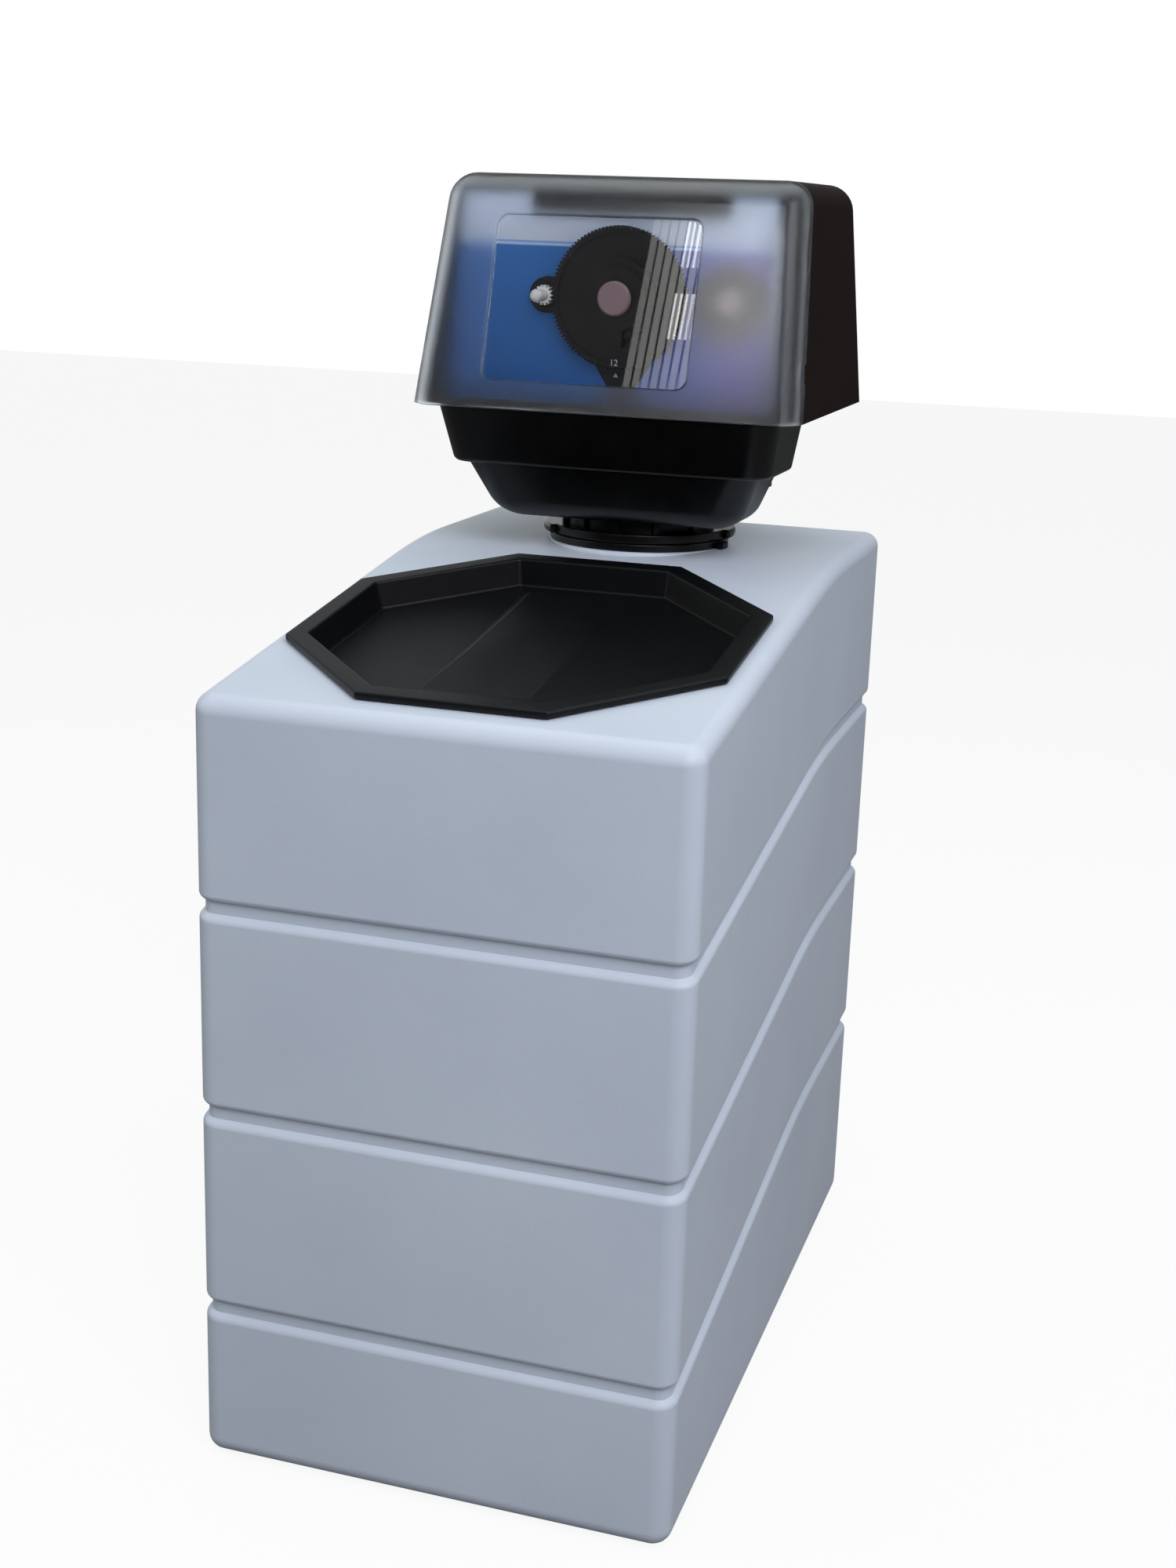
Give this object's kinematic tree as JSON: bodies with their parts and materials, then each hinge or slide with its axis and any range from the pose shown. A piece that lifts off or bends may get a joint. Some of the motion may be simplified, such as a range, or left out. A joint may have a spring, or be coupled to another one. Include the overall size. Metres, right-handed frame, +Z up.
{
  "type": "cabinet water softener",
  "caption": "Cabinet water softener: grooved salt cabinet with sloping top and octagonal lid, resin tank and timer valve head under a windowed cover.",
  "frame": {"origin": "middle of the cabinet's underside", "axes": "+Z up, -Y towards the front, +X to the right as seen from the front"},
  "size_m": [0.23, 0.415, 0.5939],
  "materials": {
    "cabinet_shell": "satin",
    "black_matte": "fine texture",
    "black_gloss": "semi-gloss",
    "white_plastic": "satin",
    "grey_plastic": "satin",
    "frosted_cover": "frosted translucent",
    "clear_lens": "clear",
    "label_print": "printed film",
    "cap_plastic": "satin",
    "steel": "brushed",
    "seal_rubber": "matte",
    "tank_wound": "wound fibre",
    "resin_beads": "loose beads"
  },
  "bodies": {
    "softener": {"cabinet": "cabinet_shell", "overflow_elbow": "black_matte", "overflow_nut": "black_matte", "brine_well": "white_plastic", "well_cap": "black_matte", "brine_valve": "white_plastic", "resin_tank": "tank_wound", "tank_base": "black_matte", "riser_tube": "white_plastic", "lower_basket": "white_plastic", "upper_basket": "white_plastic", "resin_bed": "resin_beads", "neck_collar": "black_matte", "neck_seal": "seal_rubber", "tank_adapter": "black_gloss", "valve_body": "black_gloss", "seal_stack": "seal_rubber", "end_plug": "white_plastic", "injector_body": "black_gloss", "injector_screws": "steel", "drain_elbow": "black_gloss", "brine_spigot": "black_gloss", "inlet_tail": "black_gloss", "outlet_tail": "black_gloss", "port_clips": "steel", "port_seals": "seal_rubber", "base_plate": "black_matte", "deck_screws": "steel", "lower_housing": "black_gloss", "rear_cover": "black_gloss", "timer_plate": "grey_plastic", "face_label": "label_print", "cover_catch": "black_matte", "plate_screws": "steel", "timer_motor": "steel", "pinion_boss": "black_matte"},
    "lid": {"salt_lid": "black_matte"},
    "cover": {"front_cover": "frosted_cover", "window_lens": "clear_lens"},
    "day_dial": {"day_gear": "black_matte"},
    "pinion": {"pinion_shaft": "steel", "button_spring": "steel"},
    "button": {"set_button": "white_plastic"},
    "knob": {"regen_knob": "black_matte", "knob_cap": "cap_plastic", "drive_crank": "steel"},
    "skipper": {"skipper_wheel": "black_matte", "skipper_cap": "cap_plastic"},
    "plunger": {"piston": "steel", "piston_yoke": "white_plastic"},
    "float": {"brine_float": "white_plastic"},
    "tab_1": {"day_tab_1": "grey_plastic"},
    "tab_2": {"day_tab_2": "grey_plastic"},
    "tab_3": {"day_tab_3": "grey_plastic"},
    "tab_4": {"day_tab_4": "grey_plastic"},
    "tab_5": {"day_tab_5": "grey_plastic"},
    "tab_6": {"day_tab_6": "grey_plastic"},
    "tab_7": {"day_tab_7": "grey_plastic"}
  },
  "joints": [
    {"name": "lid_lift", "type": "slide", "parent": "softener", "child": "lid", "axis": [0, -0.1436, 0.9896], "range_m": [0, 0.06]},
    {"name": "cover_release", "type": "slide", "parent": "softener", "child": "cover", "axis": [0, -1, 0], "range_m": [0, 0.06]},
    {"name": "day_gear_turn", "type": "hinge", "parent": "softener", "child": "day_dial", "pos_m": [-0.003, 0.0539, 0.5345], "axis": [0, 1, 0], "continuous": true},
    {"name": "pinion_turn", "type": "hinge", "parent": "softener", "child": "pinion", "pos_m": [-0.04275, 0.0539, 0.5345], "axis": [0, 1, 0], "continuous": true},
    {"name": "button_press", "type": "slide", "parent": "pinion", "child": "button", "axis": [0, 1, 0], "range_m": [0, 0.0055], "stiffness_N_per_m": 400, "springref_m": -0.002, "deforming": ["button_spring"]},
    {"name": "knob_turn", "type": "hinge", "parent": "softener", "child": "knob", "pos_m": [-0.003, 0.0539, 0.5345], "axis": [0, 1, 0], "continuous": true},
    {"name": "skipper_turn", "type": "hinge", "parent": "softener", "child": "skipper", "pos_m": [0.055, 0.0542, 0.5345], "axis": [0, 1, 0], "continuous": true},
    {"name": "tab_1_slide", "type": "slide", "parent": "skipper", "child": "tab_1", "axis": [1, 0, 0], "range_m": [0, 0.002]},
    {"name": "tab_2_slide", "type": "slide", "parent": "skipper", "child": "tab_2", "axis": [0.6235, 0, -0.7818], "range_m": [0, 0.002]},
    {"name": "tab_3_slide", "type": "slide", "parent": "skipper", "child": "tab_3", "axis": [-0.2225, 0, -0.9749], "range_m": [0, 0.002]},
    {"name": "tab_4_slide", "type": "slide", "parent": "skipper", "child": "tab_4", "axis": [-0.901, 0, -0.4339], "range_m": [0, 0.002]},
    {"name": "tab_5_slide", "type": "slide", "parent": "skipper", "child": "tab_5", "axis": [-0.901, 0, 0.4339], "range_m": [0, 0.002]},
    {"name": "tab_6_slide", "type": "slide", "parent": "skipper", "child": "tab_6", "axis": [-0.2225, 0, 0.9749], "range_m": [0, 0.002]},
    {"name": "tab_7_slide", "type": "slide", "parent": "skipper", "child": "tab_7", "axis": [0.6235, 0, 0.7818], "range_m": [0, 0.002]},
    {"name": "piston_travel", "type": "slide", "parent": "softener", "child": "plunger", "axis": [0, 0, 1], "range_m": [0, 0.018]},
    {"name": "float_rise", "type": "slide", "parent": "softener", "child": "float", "axis": [0, 0, 1], "range_m": [0, 0.09]}
  ],
  "couplings": [
    {"joint": "pinion_turn", "follows": "day_gear_turn", "ratio": -7.7143}
  ]
}
